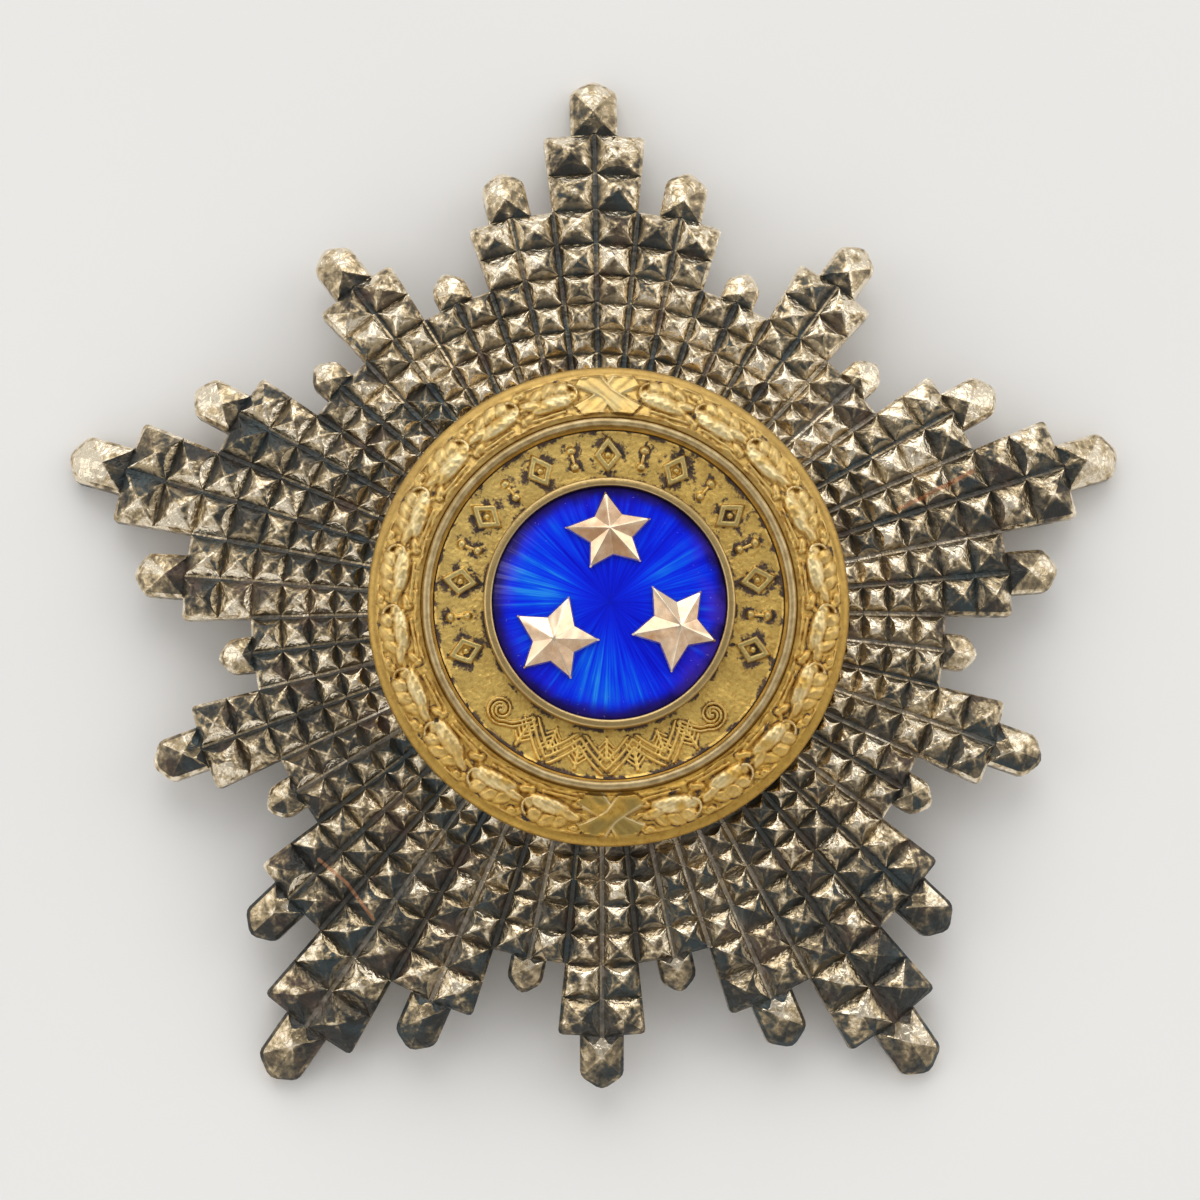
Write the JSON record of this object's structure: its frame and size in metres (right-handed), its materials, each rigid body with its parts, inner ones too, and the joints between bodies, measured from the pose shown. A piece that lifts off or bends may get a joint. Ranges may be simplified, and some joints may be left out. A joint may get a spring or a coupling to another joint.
{
  "type": "breast star of an order",
  "caption": "Five-pointed breast star: a domed silver star of faceted rays, a gilt wreathed medallion with a blue enamel centre and gold stars, and a brooch pin behind.",
  "frame": {"origin": "middle of the whole star's outline, on the plane that the five long tips rest on", "axes": "+Z out of the face, +Y towards the top long ray, +X to the right of the face"},
  "size_m": [0.078, 0.0752, 0.0121],
  "materials": {
    "tarnished_silver": "struck silver, dark tarnish in the hollows, worn bright on the ridges",
    "gilt_wreath": "satin gilding with dark patina in the hollows",
    "silver_wire": "polished and slightly tarnished silver wire",
    "gilt_band": "matt gilding with dark patina round the ornament",
    "gilt_rim": "smooth worn gilding",
    "blue_enamel": "glossy translucent enamel over an engine-turned sunburst",
    "rose_gold": "polished rose gold",
    "pin_silver": "plain silver, lightly tarnished"
  },
  "bodies": {
    "root": {"ray_star": "tarnished_silver", "wreath_ring": "gilt_wreath", "wire_ring": "silver_wire", "centre_band": "gilt_band", "enamel_rim": "gilt_rim", "enamel_disc": "blue_enamel", "gold_star_top": "rose_gold", "gold_star_left": "rose_gold", "gold_star_right": "rose_gold", "brooch_pin": "pin_silver"}
  },
  "joints": []
}
